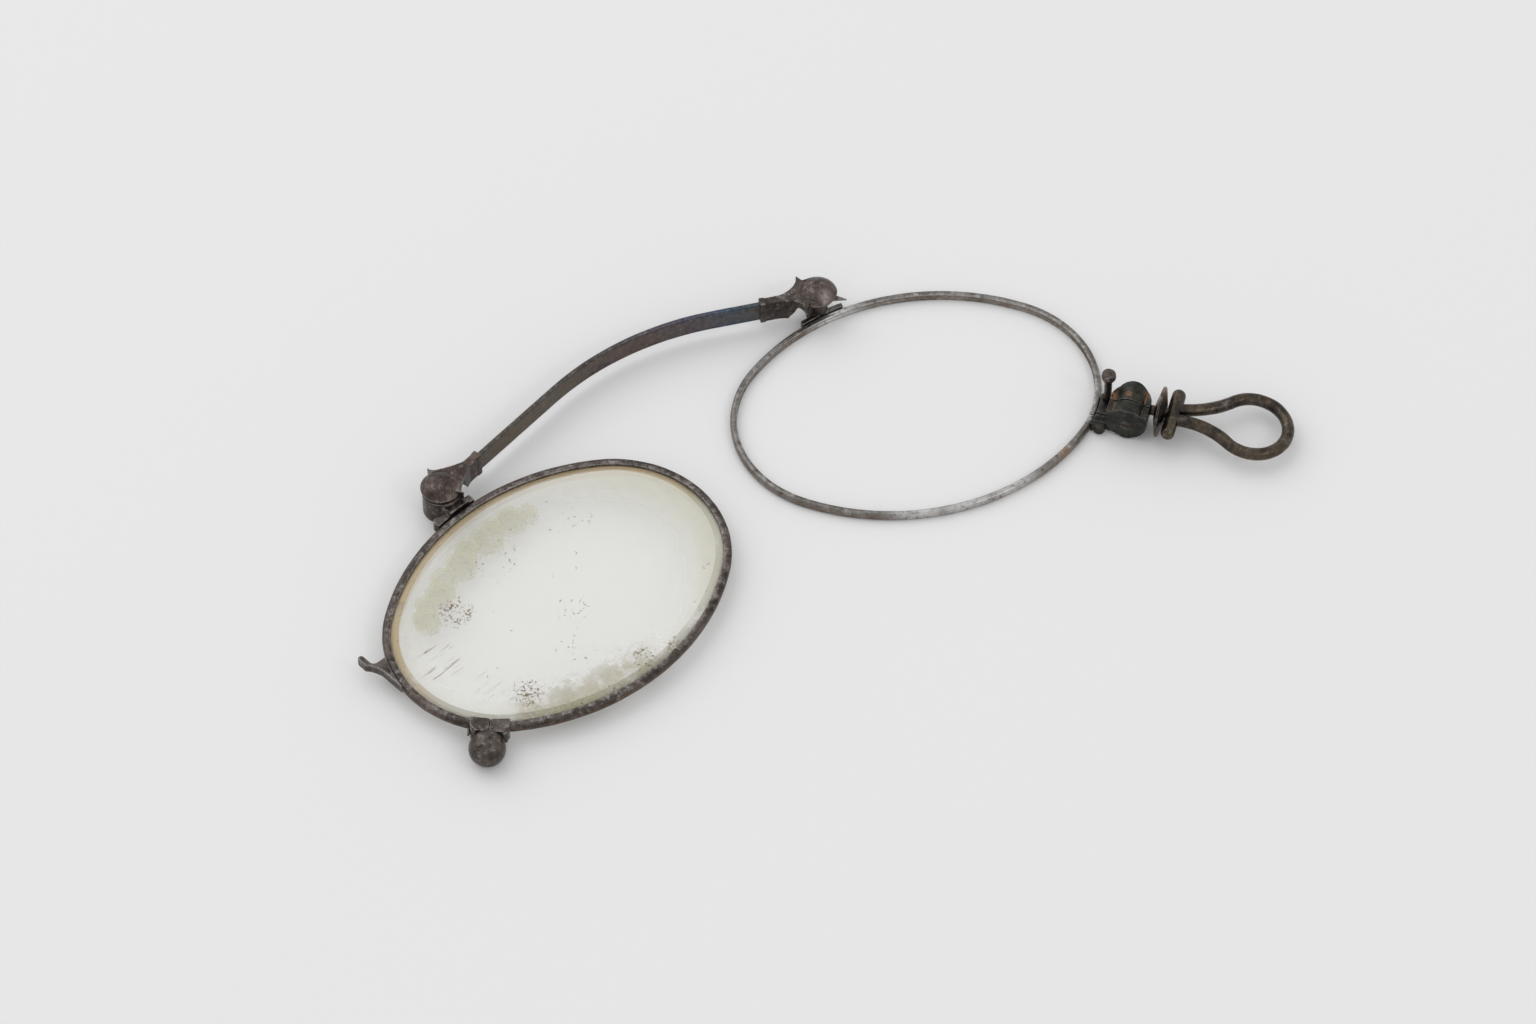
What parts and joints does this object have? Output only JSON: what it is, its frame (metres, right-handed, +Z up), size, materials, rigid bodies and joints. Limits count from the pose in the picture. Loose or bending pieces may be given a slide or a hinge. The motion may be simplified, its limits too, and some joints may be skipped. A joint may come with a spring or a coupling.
{
  "type": "folding spring-bridge eyeglasses",
  "caption": "Oval-eyed folding steel eyeglasses with a sprung ribbon bridge, pin hinges, a hook and stud catch, a ball knob and a cord handle; one lens is missing.",
  "frame": {"origin": "under the middle of the whole outline, on the surface the open eyeglasses lie on", "axes": "+X across towards the cord handle, +Y away over the bridge, +Z up out of the surface"},
  "size_m": [0.0969, 0.0638, 0.0055],
  "materials": {
    "steel_dark": "dark brown-grey patina, pitted, worn on the edges",
    "steel_brown": "brown patina, worn smooth",
    "steel_light": "grey steel, bright where it is rubbed",
    "steel_blue": "spring steel, brown with a blue temper tint at one end",
    "steel_rust": "grey-green steel with orange rust in the crevices",
    "glass_clear": "clear glass with tide marks, specks and fine scratches"
  },
  "bodies": {
    "bridge_bow": {"bridge_spring": "steel_blue"},
    "bridge_left": {"left_ferrule": "steel_brown", "left_hinge_pin": "steel_brown"},
    "bridge_right": {"right_ferrule": "steel_dark", "right_hinge_pin": "steel_brown"},
    "left_eye": {"left_barrel": "steel_dark", "left_eyewire": "steel_dark", "left_lens": "glass_clear", "catch_hook": "steel_brown", "left_block_a": "steel_dark", "left_block_b": "steel_dark", "left_closing_screw": "steel_light", "ball_knob": "steel_dark"},
    "right_eye": {"right_barrel": "steel_dark", "right_eyewire": "steel_light", "catch_stud": "steel_dark", "closing_lug": "steel_rust", "handle_block_rear": "steel_rust", "handle_block_front": "steel_rust", "right_closing_screw": "steel_light", "collar_disc": "steel_dark", "handle_crossbar": "steel_dark", "handle_loop": "steel_dark"}
  },
  "joints": [
    {"name": "flex_left", "type": "hinge", "parent": "bridge_bow", "child": "bridge_left", "pos_m": [-0.02551, 0.01209, 0.0023], "axis": [0, 0, 1], "range_deg": [-6, 54.71], "stiffness_Nm_per_rad": 0.14, "deforming": ["bridge_spring"]},
    {"name": "flex_right", "type": "hinge", "parent": "bridge_bow", "child": "bridge_right", "pos_m": [-0.01456, 0.0237, 0.0023], "axis": [0, 0, 1], "range_deg": [-49.8, 5.5], "stiffness_Nm_per_rad": 0.14, "deforming": ["bridge_spring"]},
    {"name": "left_hinge", "type": "hinge", "parent": "bridge_left", "child": "left_eye", "pos_m": [-0.04076, 0.00263, 0.0015], "axis": [0, 0, 1], "range_deg": [-12, 25.99]},
    {"name": "right_hinge", "type": "hinge", "parent": "bridge_right", "child": "right_eye", "pos_m": [-0.0016, 0.02933, 0.0015], "axis": [0, 0, 1], "range_deg": [-27.03, 12.5]}
  ],
  "couplings": [
    {"joint": "flex_right", "follows": "flex_left", "ratio": -0.90991},
    {"joint": "right_hinge", "follows": "left_hinge", "ratio": -1.0393}
  ]
}
